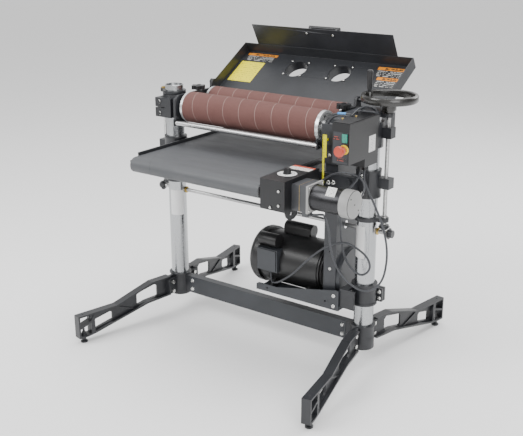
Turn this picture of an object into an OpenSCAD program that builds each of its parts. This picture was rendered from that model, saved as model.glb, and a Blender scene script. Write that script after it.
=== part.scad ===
// Open-stand dual-drum sander with a powered feed belt.
// +X runs along the drums to the operator's right, +Y to the outfeed side, +Z up.
// The origin is on the floor, under the middle of the machine's outline.

/* [Posts and base] */
// distance between the two post axes
post_spacing = 938; // [900:1:980]
// outside diameter of a post
post_d = 76.2; // [70:0.1:90]
// height of the post tops
post_top = 1022; // [980:1:1060]
// lower face of the base collars
collar_z0 = 84; // [80:1:95]
// upper face of the base collars
collar_z1 = 183; // [175:1:190]
// height of the cross beam
beam_h = 76; // [60:1:90]
// thickness of the cross beam
beam_t = 34; // [30:1:40]
// angle the front left leg splays outwards
leg_splay = 12.9; // [8:0.1:16]
// angle the rear left leg splays outwards
splay_rear = 9.9; // [8:0.1:16]
// angle the two right legs splay outwards
splay_right = 9.4; // [8:0.1:16]
// length of a leg from its root
leg_len = 480; // [440:5:520]
// width of a leg
leg_w = 36; // [30:1:40]
// diameter of a levelling foot
foot_d = 30; // [26:1:40]

/* [Sanding head] */
// diameter of a drum with its abrasive
drum_d = 127; // [120:1:135]
// length of a drum
drum_len = 670; // [600:1:670]
// left end of the drums
drum_x0 = -388; // [-390:1:-380]
// height of the drum axes
drum_z = 936; // [930:1:940]
// distance between the drum axes
drum_pitch = 160; // [150:1:175]
// height of the pressure rollers
press_z = 880; // [876:1:884]
// diameter of a pressure roller
press_d = 20; // [16:1:24]

/* [Feed table] */
// height of the feed belt's upper face
belt_top = 787; // [780:1:792]
// width of the feed belt
belt_w = 620; // [580:5:622]
// diameter of a feed roller
roller_d = 54; // [48:1:60]
// axis of the infeed roller
roller_y0 = -325; // [-330:1:-310]
// axis of the outfeed roller
roller_y1 = 455; // [440:1:460]
// length of a table collar
slide_h = 105; // [90:1:115]

/* [Lift] */
// distance from a post axis to its lead screw
screw_off = 66; // [60:1:72]
// outside diameter of a lead screw
screw_d = 15; // [12:1:18]
// height of the cross shaft
shaft_z = 565; // [555:1:575]
// outside diameter of the handwheel
wheel_d = 205; // [180:5:220]
// length of the handwheel grip
grip_len = 70; // [60:1:80]

/* [Motor] */
// diameter of the motor's shell
motor_d = 212; // [190:1:216]
// diameter of the fan cover
cowl_d = 234; // [220:1:236]
// height of the motor axis
motor_z = 356; // [350:1:362]
// distance of the motor axis behind the posts
motor_y = 45; // [40:1:50]

/* [Hood] */
// half the width of the hood
hood_hw = 416; // [410:1:418]
// length of the hood's panel edge
hood_len = 303; // [280:1:310]
// depth of the hood's walls
hood_dp = 46; // [40:1:50]
// angle of the open hood above the horizontal
hood_tilt = 31; // [25:1:35]
// inside diameter of a dust port
port_d = 101.6; // [98:0.1:105]

/* [Electrics] */
// width of the switch box
box_w = 67; // [60:1:67]
// height of the switch box
box_h = 177; // [170:1:178]
// depth of the switch box
box_dp = 205; // [190:1:206]
// diameter of the power leads
lead_d = 8; // [6:0.5:9]

/* [View] */
// sub-part to show

/* [Hidden] */

eps = 0.05;
px = post_spacing / 2;
pr = post_d / 2;
fit = 0.05;
splay_s = sin(leg_splay);
splay_c = cos(leg_splay);
leg_root_x = 474;
leg_root_y = 60;
leg_end_x = leg_root_x + leg_len * splay_s + leg_w / 2 * splay_c;
screw_x = px + screw_off;
screw_y = 12;
org_x = (screw_x + wheel_d / 2 - leg_end_x) / 2;
black = [0.13, 0.13, 0.14];
steel = [0.78, 0.79, 0.8];
drum_x1 = drum_x0 + drum_len;
drum_r = drum_d / 2;
plate_l = -412;
plate_r = 300;
plate_t = 12;
belt_x0 = -399;
belt_x1 = belt_x0 + belt_w;
roller_z = belt_top - 3 - roller_d / 2;
slide_z1 = 805;
slide_z0 = slide_z1 - slide_h;
pul_x0 = 342;
pul_x1 = 366;
wheel_z = 1073;
// corner of the open hood's side wall, and the hood's hinge axis
hood_y = 170;
hood_z = 998;
pivot_y = 185;
pivot_z = 1012;
foot_u = 451;
tray_y = -90;

module home() {
  translate([-org_x, 0, 0]) children();
}

module bx(x0, x1, y0, y1, z0, z1) {
  translate([x0, y0, z0]) cube([x1 - x0, y1 - y0, z1 - z0]);
}

module xcyl(x0, x1, y, z, r) {
  translate([x0, y, z]) rotate([0, 90, 0]) cylinder(r = r, h = x1 - x0, $fn = 48);
}

module ycyl(x, y0, y1, z, r) {
  translate([x, y0, z]) rotate([-90, 0, 0]) cylinder(r = r, h = y1 - y0, $fn = 48);
}

module zcyl(x, y, z0, z1, r) {
  translate([x, y, z0]) cylinder(r = r, h = z1 - z0, $fn = 48);
}

// a solid with a profile in Y and Z, running along X
module yz_slab(x0, x1) {
  translate([x0, 0, 0]) rotate([90, 0, 90]) linear_extrude(x1 - x0) children();
}

// a solid with a profile in X and Z, running along Y
module xz_slab(y0, y1) {
  translate([0, y1, 0]) rotate([90, 0, 0]) linear_extrude(y1 - y0) children();
}

module ring(x, y, z0, z1, ro, ri) {
  difference() {
    zcyl(x, y, z0, z1, ro);
    zcyl(x, y, z0 - 1, z1 + 1, ri);
  }
}

module hexz(x, y, z0, z1, r) {
  translate([x, y, z0]) cylinder(r = r, h = z1 - z0, $fn = 6);
}

module hexx(x0, x1, y, z, r) {
  translate([x0, y, z]) rotate([0, 90, 0]) cylinder(r = r, h = x1 - x0, $fn = 6);
}

/* posts and base */

// bushes that carry the lift's cross shaft through a post
module post_bushes(s) {
  for (k = [-1, 1]) difference() {
    xcyl(s * px + min(k * 33, k * 40), s * px + max(k * 33, k * 40), screw_y, shaft_z, 13);
    xcyl(s * px - 60, s * px + 60, screw_y, shaft_z, 8 + fit);
    zcyl(s * px, 0, shaft_z - 20, shaft_z + 20, pr - 4.5);
  }
}

module posts() {
  home() color(steel) for (s = [-1, 1]) {
    difference() {
      ring(s * px, 0, collar_z0 + 6, post_top - 1.5, pr, pr - 4);
      xcyl(s * px - 60, s * px + 60, screw_y, shaft_z, 8 + fit);
    }
    post_bushes(s);
    zcyl(s * px, 0, post_top - 9, post_top - 6, pr - 4);
    translate([s * px, 0, post_top - 1.5]) difference() {
      cylinder(r1 = pr, r2 = pr - 1.5, h = 1.5, $fn = 48);
      translate([0, 0, -1]) cylinder(r = pr - 4, h = 4, $fn = 48);
    }
  }
}

bolt_z = [112, 155];
beam_z0 = 100;
beam_hx = 401;
beam_bolt_x = 386;
beam_bolt_z = [118, 157];

module collar_body(s) {
  difference() {
    union() {
      zcyl(s * px, 0, collar_z0, 132, 45.5);
      zcyl(s * px, 0, 131, collar_z1 - 7, 44.5);
      zcyl(s * px, 0, collar_z1 - 7, collar_z1, 48.5);
      for (f = [-1, 1])
        bx(min(s * 452, s * 466), max(s * 452, s * 466), min(f * 38, f * 94),
           max(f * 38, f * 94), 101, 170);
      bx(min(s * 366, s * 440), max(s * 366, s * 440), -11, 11, 106, 170);
      bx(min(s * 401.5, s * 440), max(s * 401.5, s * 440), -16, 16, 98, 176);
    }
    zcyl(s * px, 0, collar_z0 + 6, collar_z1 + 1, pr + fit);
    for (f = [-1, 1], z = bolt_z)
      xcyl(s * px - 30, s * px + 30, f * 74, z, 5.2);
    for (z = beam_bolt_z) ycyl(s * beam_bolt_x, -30, 30, z, 5.2);
  }
}

module base_collars() {
  home() color(black) for (s = [-1, 1]) collar_body(s);
}

module cross_beam() {
  home() color(black) difference() {
    bx(-beam_hx, beam_hx, -beam_t / 2, beam_t / 2, beam_z0, beam_z0 + beam_h);
    bx(-beam_hx - 1, beam_hx + 1, -beam_t / 2 + 5, beam_t / 2 - 5,
       beam_z0 + 5, beam_z0 + beam_h - 5);
    for (s = [-1, 1], z = beam_bolt_z) ycyl(s * beam_bolt_x, -30, 30, z, 5.2);
  }
}

leg_top = [[15, 180], [110, 178], [292, 124], [leg_len, 124]];
leg_bot = [[leg_len, 25], [439, 25], [400, 30], [135, 86], [15, 92]];
leg_win = [[79, 108], [88, 99], [176, 89], [186, 96], [186, 136], [178, 143], [92, 160], [79, 150]];
leg_win2 = [[312, 64], [321, 57], [394, 46], [402, 54], [402, 80], [394, 87], [321, 101], [312, 94]];

module leg_strip(p, d, w) {
  // a flange of width w along the edge p, d thick towards the web
  for (i = [0 : len(p) - 2])
    rotate([90, 0, 0]) translate([0, 0, -w / 2]) linear_extrude(w)
      polygon([p[i], p[i + 1], p[i + 1] + [0, d], p[i] + [0, d]]);
}

function splay(s, f) = s > 0 ? splay_right : f > 0 ? splay_rear : leg_splay;

module leg(s, f) {
  difference() {
    union() {
      translate([s * leg_root_x, f * leg_root_y, 0])
        rotate([0, 0, f > 0 ? 90 - s * splay(s, f) : -90 + s * splay(s, f)]) {
          rotate([90, 0, 0]) translate([0, 0, -4]) linear_extrude(8) difference() {
            polygon(concat(leg_top, leg_bot));
            polygon(leg_win);
            polygon(leg_win2);
            translate([423, 20]) square([60, 110]);
          }
          leg_strip(leg_top, -7, leg_w);
          leg_strip(leg_bot, 8, leg_w);
          // open end frame with its sloping rib
          rotate([90, 0, 0]) translate([0, 0, -leg_w / 2]) linear_extrude(leg_w) {
            translate([leg_len - 7, 25]) square([7, 99]);
            polygon([[421, 83], [leg_len - 6, 66], [leg_len - 6, 75], [421, 92]]);
            polygon([[404, 30], [422, 27], [422, 120], [404, 120]]);
          }
          // diagonal rib on the web
          rotate([90, 0, 0]) translate([0, 0, -9]) linear_extrude(18)
            polygon([[196, 78], [206, 76], [304, 112], [300, 120]]);
          foot_boss();
        }
      // pad against the collar's tongue
      bx(min(s * 466.1, s * 478), max(s * 466.1, s * 478), min(f * 50, f * 94),
         max(f * 50, f * 94), 92, 180);
    }
    for (z = bolt_z) {
      xcyl(s * leg_root_x - 30, s * leg_root_x + 30, f * 74, z, 5.2);
      xcyl(min(s * 478, s * 500), max(s * 478, s * 500), f * 74, z, 10);
    }
    translate([s * leg_root_x, f * leg_root_y, 0])
      rotate([0, 0, f > 0 ? 90 - s * splay(s, f) : -90 + s * splay(s, f)]) {
        zcyl(foot_u, 0, 15, 60, 5.08);
        zcyl(foot_u, 0, 110, 130, 4);
      }
  }
}

module foot_boss() {
  zcyl(foot_u, 0, 25, 38, 13);
}

module leg_front_left() {
  home() color(black) leg(-1, -1);
}

module leg_front_right() {
  home() color(black) leg(1, -1);
}

module leg_rear_left() {
  home() color(black) leg(-1, 1);
}

module leg_rear_right() {
  home() color(black) leg(1, 1);
}

module base_bolts() {
  home() color(steel) for (s = [-1, 1]) {
    for (z = beam_bolt_z) {
      ycyl(s * beam_bolt_x, -beam_t / 2 - 0.01, 14, z, 5);
      difference() {
        translate([s * beam_bolt_x, -beam_t / 2 - 5, z]) rotate([-90, 0, 0])
          cylinder(r1 = 6, r2 = 9, h = 5, $fn = 32);
        translate([s * beam_bolt_x, -beam_t / 2 - 6, z]) rotate([-90, 0, 0])
          cylinder(r = 3, h = 4, $fn = 6);
      }
    }
    for (f = [-1, 1], z = bolt_z) {
      xcyl(min(s * 444, s * 486), max(s * 444, s * 486), f * 74, z, 5);
      if (s > 0) {
        hexx(478.01, 486, f * 74, z, 9);
        hexx(444, 451.99, f * 74, z, 9);
      }
      else {
        hexx(-451.99, -444, f * 74, z, 9);
        hexx(-486, -478.01, f * 74, z, 9);
      }
    }
  }
}

function foot_at(s, f) = [s * (leg_root_x + foot_u * sin(splay(s, f))),
  f * (leg_root_y + foot_u * cos(splay(s, f)))];

module foot(s, f) {
  p = foot_at(s, f);
  translate([p[0], p[1], 0]) {
    cylinder(r1 = foot_d / 2, r2 = foot_d / 2, h = 6, $fn = 48);
    translate([0, 0, 6]) cylinder(r1 = foot_d / 2, r2 = foot_d / 2 - 5, h = 3, $fn = 48);
    translate([0, 0, 9]) cylinder(r = 7, h = 2, $fn = 48);
    translate([0, 0, 9]) cylinder(r = 5, h = 52, $fn = 48);
    translate([0, 0, 12]) cylinder(r = 9, h = 6, $fn = 6);
    translate([0, 0, 39]) cylinder(r = 9, h = 7, $fn = 6);
  }
}

module foot_front_left() {
  home() color(black) foot(-1, -1);
}

module foot_front_right() {
  home() color(black) foot(1, -1);
}

module foot_rear_left() {
  home() color(black) foot(-1, 1);
}

module foot_rear_right() {
  home() color(black) foot(1, 1);
}

/* motor and drive */

module motor_bracket() {
  home() color(black) difference() {
    union() {
      zcyl(px, 0, 270, 354, 47);
      zcyl(px, 0, 270, 278, 50);
      zcyl(px, 0, 346, 354, 50);
      // clamping lugs behind the collar
      bx(px + 20, px + 62, 26, 38, 276, 330);
      bx(px + 20, px + 62, 42, 54, 276, 330);
      // arm towards the tray, with ribs
      bx(407, 470, -82, -72, 262, 338);
      bx(407, 417, -82, -30, 262, 338);
      bx(407, 440, -82, -20, 262, 270);
      bx(407, 440, -82, -20, 330, 338);
      xz_slab(-72, -60) polygon([[417, 270], [427, 270], [462, 330], [452, 330]]);
    }
    zcyl(px, 0, 200, 400, pr + fit);
    bx(px + 30, px + 70, 38, 42, 260, 360);
    zcyl(px, 0, 260, 360, pr + fit);
    ycyl(px + 51, 20, 60, 290, 5.5);
    ycyl(px + 51, 20, 60, 316, 5.5);
  }
}

module motor_tray() {
  home() color(black) difference() {
    union() {
      xz_slab(tray_y, tray_y + 5) polygon([[20, 246], [406.9, 246], [406.9, 327], [395, 330],
        [120, 276], [30, 276], [20, 270]]);
      bx(20, 406.9, tray_y, 156, 246, 251);
      bx(401.9, 406.9, tray_y, -20, 246, 327);
      bx(20, 300, 151, 156, 246, 268);
      for (x = [70, 235], y = [-45, 135]) zcyl(x, y, 250, 253, 16);
    }
    for (x = [74, 348]) ycyl(x, tray_y - 1, tray_y + 8, x < 100 ? 262 : 275, 4);
    for (x = [70, 235], y = [-45, 135]) zcyl(x, y, 240, 260, 5.5);
    // slot under the motor's belly
    bx(10, 295, 15, 75, 240, 256);
  }
}

shell_x0 = -8;
shell_x1 = 300;
cowl_x0 = -38;

module motor_shell() {
  home() color(black) difference() {
    union() {
      xcyl(shell_x0, 285, motor_y, motor_z, motor_d / 2);
      xcyl(285, 293, motor_y, motor_z, motor_d / 2 - 4);
      xcyl(293, shell_x1, motor_y, motor_z, motor_d / 2 - 12);
      xcyl(299, 306, motor_y, motor_z, 40);
      // feet, each with a rib up to the shell
      for (x = [55, 220]) {
        for (y = [-60, 115]) bx(x, x + 30, y, y + 35, 253.05, 262);
        yz_slab(x + 9, x + 21) polygon([[-58, 255], [12, 255], [12, 270], [-20, 290],
          [-50, 268], [-58, 262]]);
        yz_slab(x + 9, x + 21) polygon([[148, 255], [78, 255], [78, 270], [110, 290],
          [140, 268], [148, 262]]);
      }
    }
    xcyl(shell_x0 - 1, shell_x1 - 14, motor_y, motor_z, motor_d / 2 - 7);
    xcyl(280, 310, motor_y, motor_z, 13.05);
    for (x = [70, 235], y = [-45, 135]) zcyl(x, y, 240, 265, 5.5);
    // groove beside the box's cable gland
    zcyl(64.8, -48, 285, 320, 6.2);
  }
}

module fan_cover() {
  home() color(black) difference() {
    translate([cowl_x0, motor_y, motor_z]) rotate([0, 90, 0]) rotate_extrude($fn = 96)
      polygon([[0, 0], [96, 0], [107, 5], [113, 13], [cowl_d / 2, 24], [cowl_d / 2, 48],
        [motor_d / 2 + 0.02, 48], [motor_d / 2 + 0.02, 42], [cowl_d / 2 - 3, 42],
        [cowl_d / 2 - 3, 25], [109, 15], [104, 9], [95, 3], [0, 3]]);
    // air inlet slots
    for (r = [0 : 5], k = [-1, 1])
      bx(cowl_x0 - 1, cowl_x0 + 4, motor_y + k * 38 - 30, motor_y + k * 38 + 30,
         motor_z - 52 + r * 20, motor_z - 44 + r * 20);
  }
}

module capacitor_cover(x0, x1, d, r, a) {
  translate([0, motor_y, motor_z]) rotate([a, 0, 0]) {
    xcyl(x0, x1, 0, d, r);
    bx(x0 + 4, x1 - 4, -r, r, motor_d / 2 - 18, d);
  }
}

module capacitor_covers() {
  home() color(black) difference() {
    union() {
      capacitor_cover(11, 98, 131, 27, 42);
      capacitor_cover(60, 190, 126, 27, -14);
    }
    xcyl(0, 250, motor_y, motor_z, motor_d / 2 + eps);
    bx(13.9, 112.1, -81, -19.9, 329, 424.1);
  }
}

module junction_box() {
  home() color([0.3, 0.3, 0.31]) difference() {
    union() {
      bx(14, 112, -76, -20, 330, 424);
      bx(18, 106, -80, -76, 334, 420);
      zcyl(64, -48, 316, 331, 10);
    }
    xcyl(0, 250, motor_y, motor_z, motor_d / 2 + eps);
  }
}

module motor_rotor() {
  home() color(steel) {
    xcyl(-26, 368, motor_y, motor_z, 13);
    xcyl(30, 200, motor_y, motor_z, 60);
    // cooling fan
    xcyl(-28, -12, motor_y, motor_z, 30);
    for (a = [0 : 45 : 315])
      translate([-27, motor_y, motor_z]) rotate([a + 10, 0, 0]) translate([0, -2, 20])
        cube([14, 4, 70]);
  }
}

// two-groove pulley on a solid shaft
module pulley(y, z, r) {
  translate([pul_x0, y, z]) rotate([0, 90, 0]) rotate_extrude($fn = 96)
    polygon([[0, 0], [r, 0], [r, 1.2], [r - 7, 1.2], [r - 7, 10.8], [r, 10.8], [r, 13.2],
      [r - 7, 13.2], [r - 7, 22.8], [r, 22.8], [r, 24], [0, 24]]);
}

mp_r = 62;
dp_r = 42;

module motor_pulley() {
  home() color(black) difference() {
    union() {
      translate([pul_x0, motor_y, motor_z]) rotate([0, 90, 0]) rotate_extrude($fn = 96)
        polygon([[13, 0], [mp_r, 0], [mp_r, 1.2], [mp_r - 7, 1.2], [mp_r - 7, 10.8],
          [mp_r, 10.8], [mp_r, 13.2], [mp_r - 7, 13.2], [mp_r - 7, 22.8], [mp_r, 22.8],
          [mp_r, 24], [13, 24]]);
    }
    for (a = [0 : 72 : 288]) translate([pul_x0 - 1, motor_y, motor_z]) rotate([a, 0, 0])
      translate([0, 0, 33]) rotate([0, 90, 0]) cylinder(r = 9, h = 40, $fn = 24);
  }
}

// points on the run of a belt round the three pulleys
function tangent(c0, c1, r0, r1) = let (
    d = c1 - c0, l = norm(d), a = atan2(d[1], d[0]), b = acos((r0 - r1) / l))
  a - b;
function arc_pts(c, r, a0, a1, n) = [for (i = [0 : n])
  c + r * [cos(a0 + (a1 - a0) * i / n), sin(a0 + (a1 - a0) * i / n)]];
cm = [motor_y, motor_z];
cf = [0, drum_z];
cr = [drum_pitch, drum_z];
ang_mr = tangent(cm, cr, mp_r - 4, dp_r - 4);
ang_fm = tangent(cf, cm, dp_r - 4, mp_r - 4);
function belt_loop(d) = concat(
  arc_pts(cr, dp_r - 4 + d, ang_mr, 90, 9),
  arc_pts(cf, dp_r - 4 + d, 90, ang_fm + 360, 9),
  arc_pts(cm, mp_r - 4 + d, ang_fm + 360, ang_mr + 360, 12));

module drive_belt() {
  home() color([0.07, 0.07, 0.07]) for (x = [pul_x0 + 1.4, pul_x0 + 13.4])
    yz_slab(x, x + 9.2) difference() {
      polygon(belt_loop(3.5));
      polygon(belt_loop(-1.5));
    }
}

module belt_guard() {
  home() color(black) difference() {
    union() {
      // column between the motor and the head
      bx(321, 371, -62, -58, 296, 822);
      bx(371, 375, -62, 112, 296, 822);
      bx(345, 371, 108, 112, 440, 822);
      bx(345, 375, 112, 124, 560, 580);
      // round cover over the motor pulley
      xcyl(375, 391, motor_y, motor_z, 104);
      // covers in front of, beside and above the drum pulleys
      bx(312.02, 375, -72, -68, 822, 966);
      bx(307, 375, -72, -68, 908, 966);
      bx(312.02, 371, -72, -58, 818, 822);
      yz_slab(371, 375) polygon([[-72, 818], [-72, 955], [-66, 970], [-40, 986], [10, 993],
        [150, 993], [190, 987], [218, 970], [220, 955], [220, 860], [112, 818]]);
      yz_slab(336, 374) difference() {
        polygon([[-72, 955], [-66, 970], [-40, 986], [10, 993], [150, 993], [190, 987],
          [218, 970], [220, 955]]);
        polygon([[-68, 950], [-62, 967], [-38, 982], [10, 989], [150, 989], [188, 983],
          [214, 967], [216, 950]]);
      }
    }
    // passage for the lift cross shaft and the motor pulley
    xcyl(360, 392, screw_y, shaft_z, 16);
    xcyl(360, 388, motor_y, motor_z, 92);
    for (z = [398, 470]) ycyl(348, -70, -50, z, 4);
  }
}

/* head */

plate_pts = [[-75, 900], [-66, 880], [-60, 868], [218, 868], [236, 886], [238, 960],
  [206, 984], [200, 1016], [193, 1025], [177, 1025], [170, 1016], [164, 990],
  [-50, 990], [-75, 974]];

// the right plate is cut low in front, so the drum's end shows
plate_pts_r = [[-75, 900], [-66, 880], [-60, 868], [218, 868], [236, 886], [238, 960],
  [206, 984], [200, 1016], [193, 1025], [177, 1025], [170, 1016], [164, 990],
  [58, 990], [50, 962], [-40, 962], [-58, 948], [-58, 906], [-75, 906]];

module end_plate(x0) {
  difference() {
    yz_slab(x0, x0 + plate_t) polygon(x0 < 0 ? plate_pts : plate_pts_r);
    for (y = [0, drum_pitch]) xcyl(x0 - 1, x0 + plate_t + 1, y, drum_z, 24.05);
  }
}

module split_block(s) {
  difference() {
    union() {
      zcyl(s * px, 0, 890, 984, 49);
      children();
    }
    zcyl(s * px, 0, 880, 1000, pr + fit);
  }
}

module head_end_left() {
  home() color(black) {
    difference() {
      union() {
        split_block(-1) {
          bx(-511, -427, -75, -20, 894, 974);
          bx(-440, -400, -60, 49, 894, 974);
          bx(-440, -400, 30, 160, 900, 968);
        }
        end_plate(plate_l);
      }
      zcyl(-px, 0, 880, 1000, pr + fit);
      xcyl(plate_l - 40, plate_l + plate_t + 1, drum_pitch, drum_z, 24.05);
      xcyl(plate_l - 16, plate_l + plate_t + 1, 0, drum_z, 24.05);
      zcyl(-406, 82, 970, 1000, 5.05);
      bx(-520, -460, -80, -30, 932, 936);
    }
    // clamping screws and the hood's pivot pin
    for (z = [910, 957]) {
      ycyl(-489, -81, -74, z, 8);
    }
    xcyl(-424, plate_l + 1, pivot_y, pivot_z, 6);
  }
}

module head_end_right() {
  home() color(black) {
    difference() {
      union() {
        split_block(1) {
          bx(421, 446, 0, 236, 894, 974);
          bx(plate_r, 446, 224, 236, 894, 962);
          bx(500, 556, -6, 30, 927, 966);
          bx(470, 518, sb_y1 + 0.05, -20, 900, 980);
        }
        end_plate(plate_r);
      }
      zcyl(px, 0, 880, 1000, pr + fit);
      zcyl(screw_x, screw_y, 900, 1000, screw_d / 2 + 0.6);
      zcyl(306, 82, 970, 1000, 5.05);
    }
    xcyl(plate_r + plate_t - 1, 424, pivot_y, pivot_z, 6);
  }
}

module drum(y) {
  xcyl(plate_l - 4, pul_x1 + 1.2, y, drum_z, 12.5);
  difference() {
    xcyl(drum_x0, drum_x1, y, drum_z, drum_r - 1);
    xcyl(drum_x0 - 1, drum_x1 + 1, y, drum_z, drum_r - 8);
  }
  for (x = [drum_x0 + 6, drum_x1 - 14]) difference() {
    xcyl(x, x + 8, y, drum_z, drum_r - 7);
    for (a = [0 : 60 : 300]) translate([x - 1, y, drum_z]) rotate([a, 0, 0])
      translate([0, 0, 36]) rotate([0, 90, 0]) cylinder(r = 9, h = 10, $fn = 24);
  }
  for (x = [drum_x0 - 2, drum_x1 - 8]) xcyl(x, x + 10, y, drum_z, 22);
  pulley(y, drum_z, dp_r);
}

module drum_front() {
  home() color([0.86, 0.86, 0.86]) drum(0);
}

module drum_rear() {
  home() color([0.86, 0.86, 0.86]) drum(drum_pitch);
}

module wrap(y) {
  difference() {
    xcyl(drum_x0 + 12, drum_x1 - 14, y, drum_z, drum_r);
    xcyl(drum_x0 - 1, drum_x1 + 1, y, drum_z, drum_r - 1);
  }
}

module wrap_front() {
  home() color([0.55, 0.33, 0.31]) wrap(0);
}

module wrap_rear() {
  home() color([0.55, 0.33, 0.31]) wrap(drum_pitch);
}

module drum_bearings() {
  home() color(black) for (y = [0, drum_pitch]) {
    difference() {
      union() {
        xcyl(plate_l, plate_l + plate_t, y, drum_z, 24);
        xcyl(plate_l + plate_t + 0.05, plate_l + plate_t + 7, y, drum_z, 33);
        xcyl(plate_l + plate_t - 1, plate_l + plate_t + 3, y, drum_z, 24);
      }
      xcyl(plate_l - 1, plate_l + plate_t + 20, y, drum_z, 12.55);
    }
    difference() {
      union() {
        xcyl(plate_r, plate_r + plate_t, y, drum_z, 24);
        xcyl(plate_r - 9, plate_r - 0.05, y, drum_z, 33);
        xcyl(plate_r - 3, plate_r + 1, y, drum_z, 24);
      }
      xcyl(plate_r - 20, plate_r + plate_t + 20, y, drum_z, 12.55);
    }
  }
}

module press_roller(y) {
  xcyl(plate_l + plate_t + 7, plate_r - 7, y, press_z, press_d / 2);
  xcyl(plate_l + plate_t + 0.5, plate_r - 0.5, y, press_z, 5);
}

module roller_infeed() {
  home() color(steel) press_roller(-78);
}

module roller_outfeed() {
  home() color(steel) press_roller(drum_pitch + 78);
}

// spring blocks that hold the pressure rollers on the end plates
module press_block(x0, y, f) {
  difference() {
    union() {
      bx(x0, x0 + 5, y - 12, y + 12, press_z - 12, press_z + 16);
      bx(x0, x0 + 14, y - 12, y + 12, press_z + 12, press_z + 16);
      zcyl(x0 + 7, y, press_z + 15, press_z + 28, 4);
      hexz(x0 + 7, y, press_z + 19, press_z + 24, 8);
    }
    xcyl(x0 - 1, x0 + 6, y, press_z, 5.05);
  }
}

module roller_brackets() {
  home() color(steel) for (y = [-78, drum_pitch + 78]) {
    press_block(plate_l + plate_t, y, 1);
    translate([2 * plate_r, 0, 0]) mirror([1, 0, 0]) press_block(plate_r, y, 1);
  }
}

module lobed_knob(x, y) {
  difference() {
    union() {
      zcyl(x, y, 976, 992, 5);
      zcyl(x, y, 990.3, 1000, 6.4);
      zcyl(x, y, 996, 1012, 22);
      for (a = [0 : 60 : 300]) translate([x, y, 996]) rotate([0, 0, a]) translate([22, 0, 0])
        cylinder(r = 8, h = 16, $fn = 24);
    }
    zcyl(x, y, 1010, 1014, 10);
  }
}

module head_knob_left() {
  home() color(black) lobed_knob(-406, 82);
}

module head_knob_right() {
  home() color(black) lobed_knob(306, 82);
}

/* hood, drawn in its open rest position */

module hood_frame() {
  // local +Y runs along the panel away from the hinge, local +Z is the hood's inside
  translate([0, hood_y, hood_z]) rotate([hood_tilt, 0, 0]) translate([0, 0, -hood_dp])
    children();
}

panel_s = 34;
port_s = 216;
port_x = 107;

module hood() {
  home() color([0.2, 0.2, 0.21]) hood_frame() difference() {
    union() {
      bx(-hood_hw, hood_hw, panel_s, hood_len, -2.5, 0);
      for (s = [-1, 1]) {
        translate([s > 0 ? hood_hw - 3 : -hood_hw, 0, 0]) rotate([90, 0, 90])
          linear_extrude(3) polygon([[6, 26], [0, 36], [0, hood_dp], [4, 52], [9, 63],
            [17, 66], [26, 64], [32, 56], [36, hood_dp], [hood_len, hood_dp],
            [hood_len, -2.5], [panel_s, -2.5]]);
      }
      bx(-hood_hw, hood_hw, hood_len - 3, hood_len, -2.5, hood_dp);
      // turned rim along the free edge at the hinge side
      bx(-hood_hw, hood_hw, panel_s, panel_s + 3, -2.5, 6);
    }
    for (k = [-1, 1]) translate([k * port_x, port_s, -5])
      cylinder(r = port_d / 2 + 0.02, h = 10, $fn = 64);
    for (s = [-1, 1]) translate([s * (hood_hw - 1.5), pivot_l[0], pivot_l[1]])
      rotate([0, 90, 0]) cylinder(r = 6.06, h = 8, center = true, $fn = 32);
    for (k = [-1, 1], a = [45 : 90 : 315])
      translate([k * port_x + 60 * cos(a), port_s + 60 * sin(a), -5])
        cylinder(r = 2.6, h = 10, $fn = 16);
  }
}

// hinge axis in the hood's own frame
pd = [pivot_y - hood_y, pivot_z - hood_z];
pivot_l = [pd[0] * cos(hood_tilt) + pd[1] * sin(hood_tilt),
  -pd[0] * sin(hood_tilt) + pd[1] * cos(hood_tilt) + hood_dp];

lip_hw = 345;
lip_a = 2;
handle_z = 77;
handle_x = 0;

// local +Z runs up the lip, local +Y points out of its outer face
module lip_frame() {
  translate([0, hood_len + 0.05, hood_dp]) rotate([-lip_a, 0, 0]) children();
}

// outline of the lip in the hood's frame: a strip on the end wall and the raised part
lip_tip = 100 * [sin(lip_a), cos(lip_a)];
lip_in = [hood_len + 0.05, hood_dp];
lip_pts = [[lip_in[0], 24], lip_in, lip_in + lip_tip, lip_in + lip_tip + 3 * [cos(lip_a), -sin(lip_a)],
  lip_in + [3, -0.05], [lip_in[0] + 3, 24]];

module hood_lip() {
  home() color([0.2, 0.2, 0.21]) hood_frame() difference() {
    yz_slab(-lip_hw, lip_hw) polygon(lip_pts);
    lip_frame() for (k = [-1, 1]) ycyl(handle_x + k * 64, -5, 10, handle_z, 2.7);
  }
}

module hood_handle() {
  home() color(black) hood_frame() lip_frame() {
    for (k = [-1, 1]) {
      ycyl(handle_x + k * 64, 3.02, 41, handle_z, 7);
      ycyl(handle_x + k * 64, -2, 4, handle_z, 2.6);
      ycyl(handle_x + k * 64, -2.5, -0.02, handle_z, 5);
    }
    xcyl(handle_x - 74, handle_x + 74, 40, handle_z, 8.5);
  }
}

module dust_ports() {
  home() color(black) hood_frame() for (k = [-1, 1]) {
    difference() {
      union() {
        translate([k * port_x, port_s, -40]) cylinder(r = port_d / 2, h = 38, $fn = 64);
        translate([k * port_x, port_s, -6.5]) cylinder(r = 68, h = 3.95, $fn = 64);
      }
      translate([k * port_x, port_s, -41]) cylinder(r = port_d / 2 - 2, h = 42, $fn = 64);
    }
    for (a = [45 : 90 : 315])
      translate([k * port_x + 60 * cos(a), port_s + 60 * sin(a), -6]) {
        cylinder(r = 2.5, h = 6, $fn = 16);
        translate([0, 0, 6]) cylinder(r = 4.5, h = 2.4, $fn = 16);
      }
  }
}

/* lift */

module screw_rod(s, z1) {
  x = s * screw_x;
  zcyl(x, screw_y, 592, z1, screw_d / 2);
  zcyl(x, screw_y, 624.2, 630, 12);
  translate([x, screw_y, 578]) cylinder(r1 = 12, r2 = 22, h = 10, $fn = 48);
  zcyl(x, screw_y, 588, 596, 18);
}

module screw_left() {
  home() color(steel) screw_rod(-1, 1006);
}

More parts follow.
